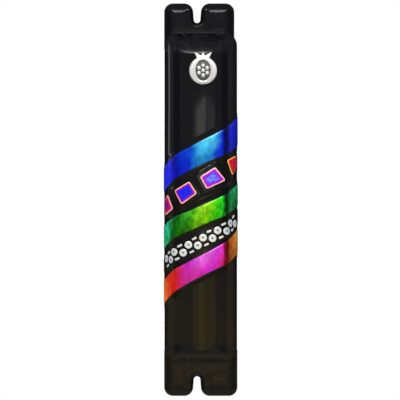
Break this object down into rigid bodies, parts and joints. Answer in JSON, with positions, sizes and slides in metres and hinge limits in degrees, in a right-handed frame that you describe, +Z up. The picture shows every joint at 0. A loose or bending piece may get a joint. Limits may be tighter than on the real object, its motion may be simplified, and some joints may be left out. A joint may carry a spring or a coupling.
{
  "type": "mezuzah case",
  "caption": "Wall-hung mezuzah case of slumped black glass with slanted coloured glass strips, a cast emblem and a scroll tube in its back channel.",
  "frame": {"origin": "centre of the flat back plane, which lies on the wall", "axes": "+X to the right seen from the front, +Y into the wall, +Z up along the case"},
  "size_m": [0.0294, 0.0154, 0.1524],
  "materials": {
    "black_glass": "glossy opaque black, fire-polished",
    "blue_dichroic_glass": "glossy, metallic blue to cyan coat",
    "green_dichroic_glass": "glossy, metallic green to lime coat",
    "magenta_dichroic_glass": "glossy, metallic magenta to orange coat",
    "violet_dichroic_glass": "glossy, metallic blue to violet coat",
    "crimson_dichroic_glass": "glossy, metallic crimson coat",
    "silver_coat": "bright metallic film",
    "pewter": "polished cast pewter",
    "clear_adhesive": "cured clear silicone",
    "white_foam": "closed-cell foam tape",
    "clear_plastic": "clear, glossy",
    "ivory_plastic": "satin moulded",
    "parchment": "matt, rolled"
  },
  "bodies": {
    "case": {"glass_shell": "black_glass", "band_blue": "blue_dichroic_glass", "band_green": "green_dichroic_glass", "band_magenta": "magenta_dichroic_glass", "band_dotted": "black_glass", "pattern_dots": "silver_coat", "pattern_dashes": "silver_coat", "tile_left_edge": "crimson_dichroic_glass", "tile_left": "violet_dichroic_glass", "tile_right": "violet_dichroic_glass", "tile_right_edge": "crimson_dichroic_glass", "emblem": "pewter", "emblem_adhesive": "clear_adhesive", "foam_pad_upper": "white_foam", "foam_pad_lower": "white_foam"},
    "tube": {"scroll_tube": "clear_plastic"},
    "upper_stopper": {"upper_stopper": "ivory_plastic"},
    "lower_stopper": {"lower_stopper": "ivory_plastic"},
    "scroll": {"scroll": "parchment"}
  },
  "joints": [
    {"name": "tube_withdrawal", "type": "slide", "parent": "case", "child": "tube", "axis": [0, 1, 0], "range_m": [0, 0.03]},
    {"name": "upper_stopper_pull", "type": "slide", "parent": "tube", "child": "upper_stopper", "axis": [0, 0, 1], "range_m": [0, 0.007]},
    {"name": "lower_stopper_pull", "type": "slide", "parent": "tube", "child": "lower_stopper", "axis": [0, 0, -1], "range_m": [0, 0.007]},
    {"name": "scroll_shift", "type": "slide", "parent": "tube", "child": "scroll", "axis": [0, 0, 1], "range_m": [0, 0.0037]}
  ]
}
